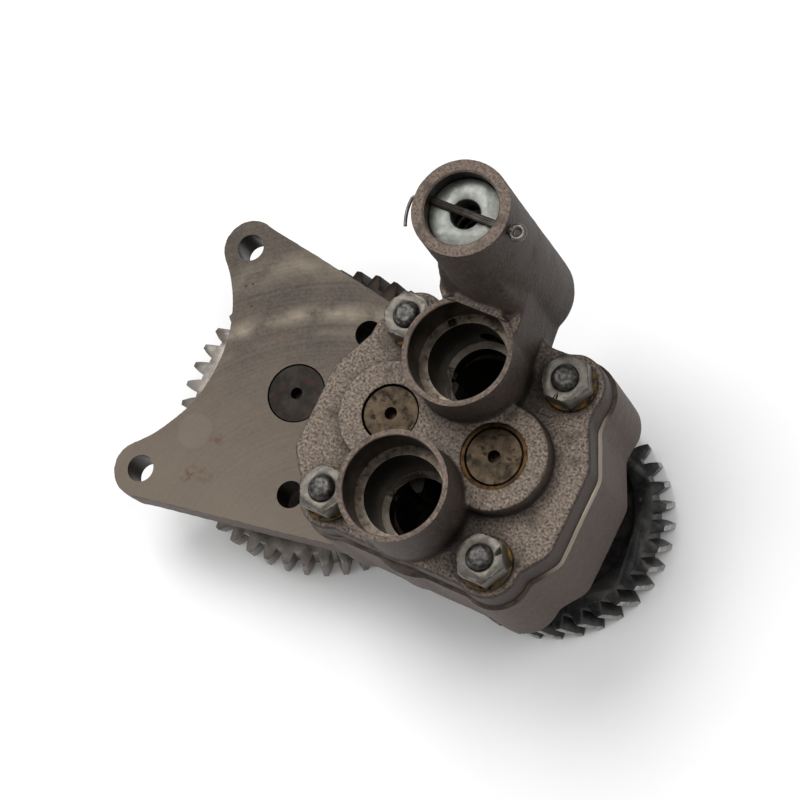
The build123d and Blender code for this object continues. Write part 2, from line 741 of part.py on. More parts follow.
def hexagon_nuts(spots, base_z, flats, height, hole_d, label):
    """Hexagon nuts with their corners chamfered at both ends, in one node."""
    corner_r = flats / sqrt(3)
    flat_r = flats / 2
    slope = (corner_r - flat_r) / sqrt(3)
    with BuildPart() as nut:
        with BuildSketch():
            RegularPolygon(flat_r, 6, major_radius=False)
            Circle(hole_d / 2, mode=Mode.SUBTRACT)
        extrude(amount=height)
        with BuildSketch(Plane.XZ):
            with BuildLine():
                Polyline(
                    (0, 0),
                    (flat_r, 0),
                    (corner_r, slope),
                    (corner_r, height - slope),
                    (flat_r, height),
                    (0, height),
                    close=True,
                )
            make_face()
        revolve(axis=Axis.Z, mode=Mode.INTERSECT)
    with BuildPart() as nuts:
        with Locations(*[place(spot, base_z) for spot in spots]):
            add(nut.part)
    nuts.part.label = label
    return nuts.part


drive_gear_washer = sleeve(
    drive_axis,
    hub_back_z - gear_washer_thick,
    hub_back_z,
    gear_nut_flats / 2 + 1,
    gear_thread_d / 2,
    "drive_gear_washer",
)
drive_gear_nut = hexagon_nuts(
    [drive_axis],
    hub_back_z - gear_washer_thick - gear_nut_height,
    gear_nut_flats,
    gear_nut_height,
    gear_thread_d,
    "drive_gear_nut",
)
cover_nuts = hexagon_nuts(
    studs, flange_z + washer_thick, nut_flats, nut_height, stud_d, "cover_nuts"
)

with BuildPart() as cover_washers:
    with Locations(*[place(spot, flange_z) for spot in studs]):
        Cylinder(washer_d / 2, washer_thick, align=up)
        Cylinder(stud_d / 2, washer_thick, align=up, mode=Mode.SUBTRACT)
cover_washers.part.label = "cover_washers"

with BuildPart() as cover_studs:
    stud_top_z = flange_z + washer_thick + nut_height + stud_past_nut
    with Locations(*[place(spot, joint_z - stud_depth) for spot in studs]):
        Cylinder(stud_d / 2, stud_top_z - joint_z + stud_depth, align=up)
    top_edges = cover_studs.edges().filter_by(GeomType.CIRCLE).group_by(Axis.Z)[-1]
    chamfer(top_edges, length=stud_chamfer)
cover_studs.part.label = "cover_studs"

with BuildPart() as cover_dowels:
    with Locations(*[place(spot, joint_z) for spot in dowels]):
        Cylinder(dowel_d / 2, dowel_length)
cover_dowels.part.label = "cover_dowels"

# --- Relief valve ----------------------------------------------------------------------------

bore_r = valve_bore_d / 2
plunger_r = bore_r - valve_slide_gap
plunger_z = valve_seat_z + end_gap

with BuildPart() as relief_plunger:
    with Locations(place(tower, plunger_z)):
        Cylinder(plunger_r, plunger_length, align=up)
    with Locations(place(tower, plunger_z + 2 * plunger_wall)):
        Cylinder(plunger_r - plunger_wall, plunger_length, align=up, mode=Mode.SUBTRACT)
    lowest_edge = relief_plunger.edges().filter_by(GeomType.CIRCLE).sort_by(Axis.Z)[0]
    chamfer(lowest_edge, length=plunger_chamfer)
relief_plunger.part.label = "relief_plunger"

with BuildPart() as relief_cap:
    with Locations(place(tower, cap_z)):
        Cylinder(plunger_r, cap_thick, align=up)
        Cylinder(cap_hole_d / 2 + cap_spigot_wall, cap_spigot, align=down)
        Cylinder(cap_hole_d / 2, 4 * cap_thick, mode=Mode.SUBTRACT)
relief_cap.part.label = "relief_cap"

# The spring stands in the hollow plunger and pushes against the cap
spring_r = plunger_r - plunger_wall - spring_gap - spring_wire_d / 2
spring_z = plunger_z + 2 * plunger_wall + spring_wire_d / 2 + end_gap
spring_height = cap_z - cap_spigot - spring_wire_d / 2 - end_gap - spring_z
with BuildPart() as relief_spring:
    with BuildLine():
        coil = Helix(
            pitch=spring_height / spring_turns,
            height=spring_height,
            radius=spring_r,
            center=place(tower, spring_z),
        )
    with BuildSketch(Plane(origin=coil @ 0, z_dir=coil % 0)):
        Circle(spring_wire_d / 2)
    sweep(is_frenet=True)
relief_spring.part.label = "relief_spring"

# The split pin crosses the tower above the cap, with its eye on one side and a leg bent round
# on the other
wire_r = split_pin_d / 4
pin_right_x = tower_x + tower_r + 1
pin_left_x = tower_x - tower_r - leg_gap + leg_bend_r
leg_y = tower_y - 0.8 * wire_r
with BuildPart() as relief_split_pin:
    with Locations(Plane((pin_left_x, tower_y, pin_z), z_dir=(1, 0, 0))):
        Cylinder(split_pin_d / 2, pin_right_x - pin_left_x, align=up)
    with Locations((pin_right_x + eye_r, tower_y, pin_z)):
        Torus(eye_r, wire_r)
    with BuildLine(Plane.XY.offset(pin_z)):
        leg = Line((pin_left_x + 1, leg_y), (pin_left_x, leg_y))
        bend = JernArc(start=leg @ 1, tangent=(-1, 0), radius=leg_bend_r, arc_size=90)
        JernArc(start=bend @ 1, tangent=(0, -1), radius=tower_r + leg_gap, arc_size=leg_turn)
    with BuildSketch(Plane((pin_left_x + 1, leg_y, pin_z), z_dir=(-1, 0, 0))):
        Circle(wire_r)
    sweep()
relief_split_pin.part.label = "relief_split_pin"

pieces = [
    pump_body.part, pump_cover.part, drive_shaft.part, pump_gear_key.part, drive_gear_key.part,
    cover_bush, body_bush, driven_spindle.part, idler_shaft.part, pump_driving_gear.part,
    pump_driven_gear.part, driven_gear_bush, drive_gear.part, idler_gear.part, idler_bush,
    idler_front_washer, idler_back_washer, idler_clip.part, drive_gear_washer, drive_gear_nut,
    cover_nuts, cover_washers.part, cover_studs.part, cover_dowels.part, relief_plunger.part,
    relief_cap.part, relief_spring.part, relief_split_pin.part,
]
os.makedirs("parts", exist_ok=True)
for piece in pieces:
    standing = piece.moved(Location((0, shaft_line_y, 0)))
    export_step(standing, f"parts/{piece.label}.step")
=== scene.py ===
# %% [markdown]
# # Dressing a gear-type engine oil pump
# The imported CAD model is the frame: every casting, shaft, gear and bolt already stands in its
# place, in metres. This lesson gives the castings their sand-cast skin and milled faces, breaks
# the gears' sharp edges, and gives every metal the finish that its making left on it. Each step
# says first what the piece is on the real pump and how it could be made.

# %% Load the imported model
from math import radians

import bpy
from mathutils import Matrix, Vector


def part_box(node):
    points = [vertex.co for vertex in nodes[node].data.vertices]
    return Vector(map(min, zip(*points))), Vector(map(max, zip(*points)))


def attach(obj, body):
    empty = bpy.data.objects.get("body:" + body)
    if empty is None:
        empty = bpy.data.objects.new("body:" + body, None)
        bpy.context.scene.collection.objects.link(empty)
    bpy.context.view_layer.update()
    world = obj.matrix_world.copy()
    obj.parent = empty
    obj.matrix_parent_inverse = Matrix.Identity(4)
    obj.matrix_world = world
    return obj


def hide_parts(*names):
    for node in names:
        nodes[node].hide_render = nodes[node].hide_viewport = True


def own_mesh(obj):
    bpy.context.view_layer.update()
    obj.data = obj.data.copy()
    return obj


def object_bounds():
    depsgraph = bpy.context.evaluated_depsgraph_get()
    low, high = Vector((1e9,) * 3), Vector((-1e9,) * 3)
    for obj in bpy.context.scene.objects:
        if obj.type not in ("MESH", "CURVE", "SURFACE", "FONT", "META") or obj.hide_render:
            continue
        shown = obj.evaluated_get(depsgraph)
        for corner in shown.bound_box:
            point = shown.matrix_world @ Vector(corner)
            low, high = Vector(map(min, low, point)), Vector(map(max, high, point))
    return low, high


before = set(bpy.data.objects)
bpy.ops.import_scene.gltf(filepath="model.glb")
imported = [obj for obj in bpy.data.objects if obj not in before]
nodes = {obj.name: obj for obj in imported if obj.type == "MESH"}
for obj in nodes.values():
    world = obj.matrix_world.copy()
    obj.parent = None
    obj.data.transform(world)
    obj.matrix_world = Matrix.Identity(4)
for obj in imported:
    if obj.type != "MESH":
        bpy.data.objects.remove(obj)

cad_low, cad_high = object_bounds()
mm = 0.001
print("nodes:", len(nodes), "box:", [round(v / mm) for v in cad_high - cad_low], "mm")

# %% [markdown]
# ## The camera
# The pump lies on its timing gears and is looked down on from above the cover, about 24 degrees
# from straight down, with a long lens, so that the shafts' lines stay nearly parallel. The camera
# comes first, because it decides how coarse a detail has to be to show: about 2.7 pixels per mm.

# %% Place the camera
camera_data = bpy.data.cameras.new("studio_camera")
camera_data.sensor_width = 36.0
camera_data.lens = 110.970
camera = bpy.data.objects.new("studio_camera", camera_data)
camera.location = (0.45052, -0.11485, 0.88439)
camera.rotation_euler = (radians(17.154), radians(16.916), radians(26.917))
bpy.context.scene.collection.objects.link(camera)
bpy.context.scene.camera = camera
print("lens:", round(camera_data.lens, 1), "mm")

# %% [markdown]
# ## The studio
# A matt white floor lies under the gears, and three square soft lights stand round them. The key
# light hangs high on the side of the ears, so that faces turned away from it go dark and the
# round sockets read as round. The fill hangs opposite, and a low light on the left picks out the
# gears' teeth. An even white sky lifts the shadows. Colours are shown without a film curve.

# %% Floor and lights
pump_middle = (cad_low + cad_high) / 2
floor_width, floor_drop = 6, 0.5 * mm
bpy.ops.object.select_all(action="DESELECT")
bpy.ops.mesh.primitive_plane_add(size=floor_width, location=(0, 0, cad_low.z - floor_drop))
floor = bpy.context.object
floor.name = "studio_floor"


def soft_light(name, place, size, watts):
    """A square area light that faces the pump."""
    data = bpy.data.lights.new(name, "AREA")
    data.size = size
    data.energy = watts
    light = bpy.data.objects.new(name, data)
    light.location = place
    light.rotation_euler = (pump_middle - Vector(place)).to_track_quat("-Z", "Y").to_euler()
    bpy.context.scene.collection.objects.link(light)


soft_light("key_light", (-0.3, 0.3, 1.06), 0.6, 8.4)
soft_light("fill_light", (0.7, 0.3, 1.05), 0.6, 3.4)
soft_light("left_light", (-0.6, -0.8, 0.3), 0.7, 3.0)

sky = bpy.data.worlds.new("studio_sky")
sky.use_nodes = True
sky.node_tree.nodes["Background"].inputs["Strength"].default_value = 0.5
sky.node_tree.nodes["Background"].inputs["Color"].default_value = (1, 1, 1, 1)
bpy.context.scene.world = sky
bpy.context.scene.view_settings.view_transform = "Standard"
print("floor at", round(floor.location.z / mm, 1), "mm")

# %% [markdown]
# ## Small tools for materials
# Colours are picked as sRGB hex values, as in any paint program, and turned to linear light for
# the renderer. A material is a handful of nodes, so one function adds a node, sets it and links
# it. A finish is then laid in coats over a base colour, as a painter would, each with its mask.

# %% Colours and nodes
def linear(hex_colour):
    """An sRGB hex colour as linear RGBA."""
    channels = [int(hex_colour[at:at + 2], 16) / 255 for at in (1, 3, 5)]
    return (*[c / 12.92 if c <= 0.04045 else ((c + 0.055) / 1.055) ** 2.4 for c in channels], 1)


def add(tree, kind, inputs=None, output=0, **settings):
    """Adds a shader node and gives back an output. An input is a value or another's output."""
    made = tree.nodes.new("ShaderNode" + kind)
    for name, value in settings.items():
        setattr(made, name, value)
    for name, value in (inputs or {}).items():
        if isinstance(value, bpy.types.NodeSocket):
            tree.links.new(value, made.inputs[name])
        else:
            made.inputs[name].default_value = value
    return made.outputs[output]


def start_material(name):
    """A new material, its node tree and its object coordinates."""
    material = bpy.data.materials.new(name)
    material.use_nodes = True
    return material, material.node_tree, add(material.node_tree, "TexCoord", output="Object")


print("mid grey:", [round(c, 3) for c in linear("#808080")])

# %% [markdown]
# Every mask starts from a noise whose scale comes from a size in millimetres. In a Mix node,
# input 0 is the mask and inputs 6 and 7 are its two colours. The relief comes from a bump, which
# is enough for marks far thinner than a pixel; whatever shows in the outline is modelled.

# %% Masks, coats and relief
def per_mm(size):
    """The scale of a pattern whose features are about that many millimetres across."""
    return 1 / (size * mm)


def patches(tree, place, size, low, high, detail=3.0, most=1.0):
    """A mask of patches of that size in mm: 0 where the noise is below low, most above high."""
    noise = {"Vector": place, "Scale": per_mm(size), "Detail": detail, "Roughness": 0.6}
    height = add(tree, "TexNoise", noise)
    ends = {"Value": height, "From Min": low, "From Max": high, "To Max": most}
    return add(tree, "MapRange", ends)


def layers(tree, base, *coats):
    """Lays coats over a base colour. Each coat is a mask and a colour."""
    skin = linear(base)
    for mask, colour in coats:
        skin = add(tree, "Mix", {0: mask, 6: skin, 7: linear(colour)}, 2, data_type="RGBA")
    return skin


def dress(material, metallic, colour, roughness, height, depth, glare=0.5):
    """Gives the shader its colour, its gloss, and a relief that is depth millimetres deep."""
    tree = material.node_tree
    shader = tree.nodes["Principled BSDF"]
    shader.inputs["Metallic"].default_value = metallic
    shader.inputs["Specular IOR Level"].default_value = glare
    if isinstance(roughness, float):
        shader.inputs["Roughness"].default_value = roughness
    else:
        tree.links.new(roughness, shader.inputs["Roughness"])
    tree.links.new(colour, shader.inputs["Base Color"])
    bump = add(tree, "Bump", {"Height": height, "Distance": depth * mm, "Strength": 1.0})
    tree.links.new(bump, shader.inputs["Normal"])
    print("finish:", material.name)


print("a pattern of 2 mm has the scale", round(per_mm(2)))

# %% [markdown]
# ## Sand-cast iron
# The cover comes from a sand mould, and shot blasting has left it a grey-pink speckle. Raised
# grains catch the light and oil has darkened the pits, so the colour follows the same noise as
# the relief. Upright walls, corners and creases are painted darker as shade, and convex edges are
# rubbed lighter. Real grain is about 0.4 mm across, and it is drawn at 1 mm, because less would
# not show. Oil lies over most of the iron, so it counts as only a little metallic, with weak glare.

# %% Sand-cast iron
def cast_iron(name, pits, grains, upright_shade_tone, depth, contrast):
    """Cast iron: speckled grain, stains, and painted shade on walls, in corners and creases."""
    material, tree, place = start_material(name)
    grain = patches(tree, place, 1.0, 0.5 - contrast, 0.5 + contrast, 5)
    stain = patches(tree, place, 8, 0.54, 0.72, 5, most=0.75)
    facing = add(tree, "NewGeometry", output="Normal")
    upright = {"Value": add(tree, "SeparateXYZ", {"Vector": facing}, "Z")}
    # Painted shade: upright walls get one darker tone over their grain
    upright_shade = add(tree, "MapRange", upright | {"From Min": 0.94, "From Max": 0.6, "To Max": 0.84})
    # Painted shade: corners near other iron are darkened through an occlusion mask
    corner = {"Value": add(tree, "AmbientOcclusion", {"Distance": 9 * mm}, "AO", samples=8)}
    corner_shade = add(tree, "MapRange", corner | {"From Min": 0.86, "From Max": 0.46, "To Max": 0.92})
    edge = {"Value": add(tree, "NewGeometry", output="Pointiness")}
    # Painted shade: concave creases are darkened
    crease_shade = add(tree, "MapRange", edge | {"From Min": 0.49, "From Max": 0.44, "To Max": 0.8})
    worn = add(tree, "MapRange", edge | {"From Min": 0.55, "From Max": 0.65, "To Max": 0.15})
    skin = layers(
        tree, pits, (grain, grains), (stain, "#2d2620"), (upright_shade, upright_shade_tone), (corner_shade, "#120f0c"),
        (crease_shade, "#16110d"), (worn, "#9b8d81"),
    )
    rough = add(tree, "MapRange", {"Value": grain, "To Min": 0.5, "To Max": 0.72})
    dress(material, 0.12, skin, rough, grain, depth, glare=0.25)
    return material


sand_cast_iron = cast_iron("sand_cast_iron", "#3a3029", "#95877a", "#2b221e", 0.16, 0.15)

# %% [markdown]
# ## Oiled and fettled cast iron
# The body's walls are the same iron, but smoother and browner: they have been wiped with oil. The
# rims of the sockets were fettled, which left them flatter and less speckled.

# %% Oiled and fettled cast iron
oiled_cast_iron = cast_iron("oiled_cast_iron", "#473c36", "#6a5c53", "#493d38", 0.1, 0.16)
fettled_iron = cast_iron("fettled_iron", "#3a312c", "#7c6c60", "#4c4039", 0.08, 0.16)

# %% [markdown]
# ## Milled iron
# The face of the mounting plate was milled flat. A cutter leaves arcs: fine ones a little over a
# millimetre apart, and a few broad bands of painted sheen. All follow the distance from one point,
# the middle of the cutter's swing. Oil lies on the face in clouds, and the face is painted paler
# towards -Y. Places on the face are given as x and y in millimetres.

# %% Milled iron: arcs and clouds
plate_z = 14
milled_iron, tree, place = start_material("milled_iron")
swing = (85 * mm, -60 * mm, plate_z * mm)
radius = add(tree, "VectorMath", {0: place, 1: swing}, "Value", operation="DISTANCE")
arcs = {"W": radius, "Scale": per_mm(1.3), "Detail": 2}
arcs = add(tree, "TexNoise", arcs, noise_dimensions="1D")
arc = add(tree, "MapRange", {"Value": arcs, "From Min": 0.35, "From Max": 0.65, "To Max": 0.1})
cloud = patches(tree, place, 16, 0.36, 0.64, 5)
fleck = patches(tree, place, 1.2, 0.35, 0.65, 4, most=0.22)
# The face is painted paler towards -Y
down = {"Value": add(tree, "SeparateXYZ", {"Vector": place}, "Y")}
down |= {"From Min": 30 * mm, "From Max": -50 * mm, "To Max": 0.6}
paler_to_minus_y = add(tree, "MapRange", down)
coats = [(cloud, "#362d23"), (paler_to_minus_y, "#6b5f52"), (fleck, "#65594d"), (arc, "#6f6355")]

# A band of painted sheen is brightest at its radius and fades over its half width, and clouds break
# it up
for sheen_radius, half_width, most in ((105, 5, 0.6), (126, 8, 0.35), (97, 3, 0.2)):
    off = add(tree, "Math", {0: radius, 1: sheen_radius * mm}, operation="SUBTRACT")
    near = {"Value": add(tree, "Math", {0: off}, operation="ABSOLUTE")}
    near |= {"From Min": half_width * mm, "From Max": 0, "To Max": most}
    broken = {0: add(tree, "MapRange", near), 1: patches(tree, place, 14, 0.36, 0.62, 6)}
    coats.append((add(tree, "Math", broken, operation="MULTIPLY"), "#8f8371"))
print("coats on the milled face:", len(coats))

# %% [markdown]
# Some marks belong to one place: a pale round print that a bolt's washer left, rust where drops
# dried near the ears, and pores in the iron. Each is a round mask round its own point.

# %% Milled iron: prints, rust and pores
def spot_at(tree, place, spot, outer, inner, most, level=plate_z):
    """A round mark on a flat face: most inside the inner radius, 0 past the outer."""
    middle = (spot[0] * mm, spot[1] * mm, level * mm)
    away = add(tree, "VectorMath", {0: place, 1: middle}, "Value", operation="DISTANCE")
    ends = {"Value": away, "From Min": outer * mm, "From Max": inner * mm, "To Max": most}
    return add(tree, "MapRange", ends)


washer_print = spot_at(tree, place, (14.2, -27.3), 7.6, 6.9, 0.22)
coats.append((washer_print, "#6a6054"))
rust_dots = patches(tree, place, 2.5, 0.44, 0.58, 5)
rusty = (((20.5, -43.6), 5), ((27, -41.5), 4), ((24, -27), 4), ((66, -23), 4), ((30, 22), 4))
for spot, reach in rusty:
    drop = {0: spot_at(tree, place, spot, reach, reach / 3, 0.7), 1: rust_dots}
    coats.append((add(tree, "Math", drop, operation="MULTIPLY"), "#452a1a"))
for pore in ((5.8, 34.2), (8.2, 36.1), (12.0, 27.5)):
    coats.append((spot_at(tree, place, pore, 0.7, 0.4, 0.9), "#120e0b"))
dress(milled_iron, 0.45, layers(tree, "#211912", *coats), 0.5, arc, 0.01)

# %% [markdown]
# ## Bored iron
# Inside the sockets and the valve the iron was turned. A boring tool leaves rings a few tenths of
# a millimetre apart, drawn at 0.8 mm so that they show, under a film of black oil.

# %% Bored iron
bored_iron, tree, place = start_material("bored_iron")
along = add(tree, "SeparateXYZ", {"Vector": place}, "Z")
rings = {"W": along, "Scale": per_mm(0.8), "Detail": 2}
rings = add(tree, "TexNoise", rings, noise_dimensions="1D")
film = patches(tree, place, 9, 0.38, 0.66, 4)
skin = layers(tree, "#1d1916", (rings, "#544a40"), (film, "#171310"))
dress(bored_iron, 0.7, skin, 0.38, rings, 0.03)

# %% [markdown]
# ## Faced iron and bare metal
# Most small finishes are one metal in two tones, under fine marks and perhaps a stain. Grinding
# and turning marks are a tenth of a millimetre apart or less. They are drawn at 0.9 mm, which at
# this distance reads as satin. The ledges in the sockets are faced: the upper ones are stained by
# oil, and the lower ones, deep in the bores, are painted pale as a highlight. The bore between the
# ledges is painted near black as shade. The body's joint was lapped flat, and a painted highlight
# makes it bright on the side of the drive shaft.

# %% Faced and oily iron
def bare_metal(name, metallic, pale, deep, size, roughness, stain=None, stained=0.6):
    """Metal in two tones, in patches of that size in mm, with fine marks and perhaps a stain."""
    material, tree, place = start_material(name)
    coats = [(patches(tree, place, size, 0.4, 0.64, 4), deep)]
    if stain:
        coats.append((patches(tree, place, size * 0.6, stained, stained + 0.1, 5), stain))
    marks = patches(tree, place, 0.9, 0.3, 0.7)
    dress(material, metallic, layers(tree, pale, *coats), roughness, marks, 0.02)
    return material


# Near black: painted shade for the bore between the sockets' ledges
shade_black_iron = bare_metal("shade_black_iron", 0.2, "#0c0d0e", "#15130f", 6, 0.35)
stained_iron = bare_metal("stained_iron", 0.6, "#73685b", "#4c4238", 4, 0.45, "#34281b", 0.55)
faced_iron = bare_metal("faced_iron", 0.5, "#a39788", "#857a6d", 5, 0.45, "#5a4c3b", 0.6)

joint_z = 43
lapped_iron, tree, place = start_material("lapped_iron")
# Painted highlight: the joint is bright on the side of the drive shaft
joint_highlight = spot_at(tree, place, (186, 4), 34, 24, 0.85, level=joint_z)
skin = layers(tree, "#3a312a", (patches(tree, place, 4, 0.4, 0.6), "#50463c"), (joint_highlight, "#b3a697"))
dress(lapped_iron, 0.5, skin, 0.4, patches(tree, place, 0.9, 0.3, 0.7), 0.01)

# %% [markdown]
# ## Zinc-plated steel
# The nuts are zinc plated, a pale matt grey. The washers were passivated as well, which gives
# them a gold cast where the oil has not covered it.

# %% Zinc-plated steel
zinc_plated_steel = bare_metal(
    "zinc_plated_steel", 0.8, "#625e57", "#4e4a44", 3, 0.44, "#4b3515", 0.6
)
yellow_zinc_steel = bare_metal(
    "yellow_zinc_steel", 0.85, "#5f4519", "#3d362c", 4, 0.42, "#15110c", 0.5
)

# %% [markdown]
# ## Steels of the shafts, gears and small parts
# All are bare metal, and colour and gloss tell them apart. The studs are black from hardening and
# rubbed grey on their domes. The spindles were ground, and brown oil mottles them; the idler's
# shaft is darker.

# %% Steels of shafts and studs
blackened_steel = bare_metal("blackened_steel", 0.7, "#1f1e1d", "#4d4a46", 1.5, 0.4)
oily_ground_steel = bare_metal(
    "oily_ground_steel", 0.9, "#3a3024", "#1b150e", 5, 0.42, "#120d08", 0.54
)
dark_ground_steel = bare_metal(
    "dark_ground_steel", 0.9, "#1b1816", "#282520", 4, 0.5, "#2c1b16", 0.56
)

# %% [markdown]
# The teeth were hobbed, which leaves a grey satin. The drive gear was hardened after that and is
# still black, with its tips worn bright. The idler is brighter, and it is painted dark on the side
# of the relief valve as shade.

# %% Steels of the gears
hobbed_steel = bare_metal("hobbed_steel", 0.85, "#7b7671", "#5a544f", 6, 0.4)
hardened_steel = bare_metal("hardened_steel", 0.75, "#262627", "#454341", 7, 0.4, "#6f6b67", 0.64)
worn_steel = bare_metal("worn_steel", 0.85, "#a5a19d", "#6a6663", 2.5, 0.36)

oil_and_shade_steel, tree, place = start_material("oil_and_shade_steel")
wipe = patches(tree, place, 9, 0.42, 0.62, 4)
side = add(tree, "SeparateXYZ", {"Vector": place}, "Y")
# Painted shade: the idler is painted dark towards +Y
shaded_side = add(tree, "MapRange", {"Value": side, "From Min": 16 * mm, "From Max": 40 * mm})
skin = layers(tree, "#8b857f", (wipe, "#68615b"), (shaded_side, "#1d1611"))
dress(oil_and_shade_steel, 0.85, skin, 0.42, patches(tree, place, 1.2, 0.3, 0.7), 0.02)

# %% [markdown]
# The small parts are ground steel, a light even grey, spring steel tempered in oil, which is
# darker and a little brown, and bored bronze under old oil, which only shows as a brown ring.

# %% Steels and bronze of the small parts
ground_steel = bare_metal("ground_steel", 0.8, "#6e706b", "#555651", 4, 0.42)
tempered_steel = bare_metal("tempered_steel", 0.8, "#4a453f", "#67615a", 3, 0.4)
bearing_bronze = bare_metal("bearing_bronze", 0.9, "#38270f", "#1a120a", 3, 0.42)

# %% [markdown]
# ## White floor
# Matt paint with a faint mottle. It isn't part of the pump.

# %% White floor
matt_white, tree, place = start_material("matt_white_paint")
tint = patches(tree, place, 60, 0.3, 0.7)
dress(matt_white, 0.0, layers(tree, "#fbfbfb", (tint, "#f9f9f9")), 0.9, tint, 0.01)
floor.data.materials.append(matt_white)

# %% [markdown]
# ## Tools for shaping
# Every piece is shaped as by hand: select, run an operator, apply a modifier. These helpers keep
# that short. Lengths in them are millimetres.

# %% Select, modify and edit
def only(*pieces):
    """Selects these objects alone and makes the first one active."""
    bpy.ops.object.select_all(action="DESELECT")
    for piece in pieces:
        piece.select_set(True)
    bpy.context.view_layer.objects.active = pieces[0]


def modify(piece, kind, **settings):
    """Adds a modifier, sets it and applies it."""
    only(piece)
    bpy.ops.object.modifier_add(type=kind)
    modifier = piece.modifiers[-1]
    for name, value in settings.items():
        setattr(modifier, name, value)
    bpy.ops.object.modifier_apply(modifier=modifier.name)


def edit(piece, test=None):
    """Opens a piece in edit mode with all vertices selected, or those that pass a test."""
    only(piece)
    bpy.ops.object.mode_set(mode="EDIT")
    bpy.ops.mesh.select_mode(type="VERT")
    bpy.ops.mesh.select_all(action="DESELECT" if test else "SELECT")
    bpy.ops.object.mode_set(mode="OBJECT")
    for vertex in piece.data.vertices if test else []:
        vertex.select = test(vertex.co / mm)
    bpy.ops.object.mode_set(mode="EDIT")


print("hand tools ready: only, modify, edit")

# %% [markdown]
# A cutter is a plain solid that is taken away from a casting, as a drill or a mill takes its iron
# away, and it leaves its own finish on the new face. The same solids serve as plugs.

# %% Rods and blocks
def rod(x, y, radius, low, high, finish=None, sides=96, top_radius=None):
    """A round cutter or plug that stands along Z from low to high."""
    bpy.ops.object.select_all(action="DESELECT")
    bpy.ops.mesh.primitive_cone_add(
        vertices=sides,
        radius1=radius * mm,
        radius2=(top_radius or radius) * mm,
        depth=(high - low) * mm,
        location=(x * mm, y * mm, (low + high) / 2 * mm),
    )
    made = bpy.context.object
    bpy.ops.object.transform_apply()
    if finish:
        made.data.materials.append(finish)
    return made


def block(low, high, finish=None):
    """A square-cornered cutter between two corners."""
    middle = [(a + b) / 2 * mm for a, b in zip(low, high)]
    bpy.ops.object.select_all(action="DESELECT")
    bpy.ops.mesh.primitive_cube_add(size=1, location=middle)
    made = bpy.context.object
    made.scale = [(b - a) * mm for a, b in zip(low, high)]
    bpy.ops.object.transform_apply()
    if finish:
        made.data.materials.append(finish)
    return made


def lay(piece, turn, place):
    """Turns a cutter by angles in degrees, moves it and fixes both in its mesh."""
    piece.rotation_euler = [radians(angle) for angle in turn]
    piece.location = Vector(place) * mm
    only(piece)
    bpy.ops.object.transform_apply()
    return piece


print("cutters ready: rod, block, and lay to turn and place them")

# %% [markdown]
# The MANIFOLD solver is quick on closed meshes and hands each cutter's finish to the face that it
# leaves. A bisect does for a flat cut through a whole piece, and fills the cut.

# %% Cutting and finishing faces
def cut(piece, *cutters):
    """Takes the cutters away from a piece, one after the other. A list of them goes as one."""
    for cutter in cutters:
        if isinstance(cutter, list):
            only(*cutter)
            bpy.ops.object.join()
            cutter = cutter[0]
        modify(
            piece,
            "BOOLEAN",
            object=cutter,
            operation="DIFFERENCE",
            solver="MANIFOLD",
            material_mode="TRANSFER",
        )
        bpy.data.objects.remove(cutter)


def finish_faces(piece, finish, test):
    """Gives a finish to the faces that pass a test."""
    if finish.name not in piece.data.materials:
        piece.data.materials.append(finish)
    index = piece.data.materials.find(finish.name)
    for face in piece.data.polygons:
        if test(face.center / mm, face.normal):
            face.material_index = index


def slice_off(piece, point, normal, finish):
    """Cuts off all that lies past a plane and closes the cut with a flat face."""
    edit(piece)
    bpy.ops.mesh.bisect(
        plane_co=Vector(point) * mm, plane_no=normal, clear_outer=True, use_fill=True
    )
    bpy.ops.object.mode_set(mode="OBJECT")
    point, normal = Vector(point), Vector(normal)
    finish_faces(
        piece,
        finish,
        lambda co, facing: facing.dot(normal) > 0.99 and abs((co - point).dot(normal)) < 0.01,
    )


print("machining ready: cut, finish_faces, slice_off")

# %% [markdown]
# ## Copies that stand for a CAD node
# A CAD node itself is never changed. Its mesh is loose triangles, so a copy is merged before it
# is shaped, and the finished copy rides on the node's body and stands for the node.

# %% Copy a node
def copy_node(node, name):
    """A merged copy of a CAD node, free of its body, to be shaped further."""
    only(nodes[node])
    bpy.ops.object.duplicate()
    piece = bpy.context.object
    piece.name = name
    piece.parent = None
    for key in list(piece.keys()):
        del piece[key]
    piece.data.materials.clear()
    edit(piece)
    bpy.ops.mesh.remove_doubles(threshold=0.005 * mm)
    bpy.ops.object.mode_set(mode="OBJECT")
    return piece


def report(piece):
    """Prints how many triangles a piece has."""
    triangles = sum(len(face.vertices) - 2 for face in piece.data.polygons)
    print(piece.name, "has", triangles, "triangles")


report(nodes["pump_cover"])

# %% [markdown]
# ## Where things are
# Round features are named once, in millimetres. The shafts' places are read from the frame, so
# that a cutter stands on the axis of the shaft that runs in it.

# %% Axes of the pump
def axis_of(node):
    """The x and y of the middle of a CAD node, in millimetres."""
    low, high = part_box(node)
    return (low.x + high.x) / 2 / mm, (low.y + high.y) / 2 / mm


drive_axis = axis_of("cover_bush")
driven_axis = axis_of("driven_spindle")
idler_axis = axis_of("idler_shaft")
tower_axis = axis_of("relief_cap")
pump_x = (drive_axis[0] + driven_axis[0]) / 2
line_y = drive_axis[1]
sockets = [(pump_x, line_y + 26.6), (pump_x, line_y - 26.6)]
studs = [(pump_x + 1 + side * 33, line_y + end * 35.5) for side in (-1, 1) for end in (-1, 1)]
dowels = [(pump_x + side * 46, line_y - 19) for side in (-1, 1)]
print("drive axis", [round(v, 2) for v in drive_axis], "tower", [round(v, 2) for v in tower_axis])

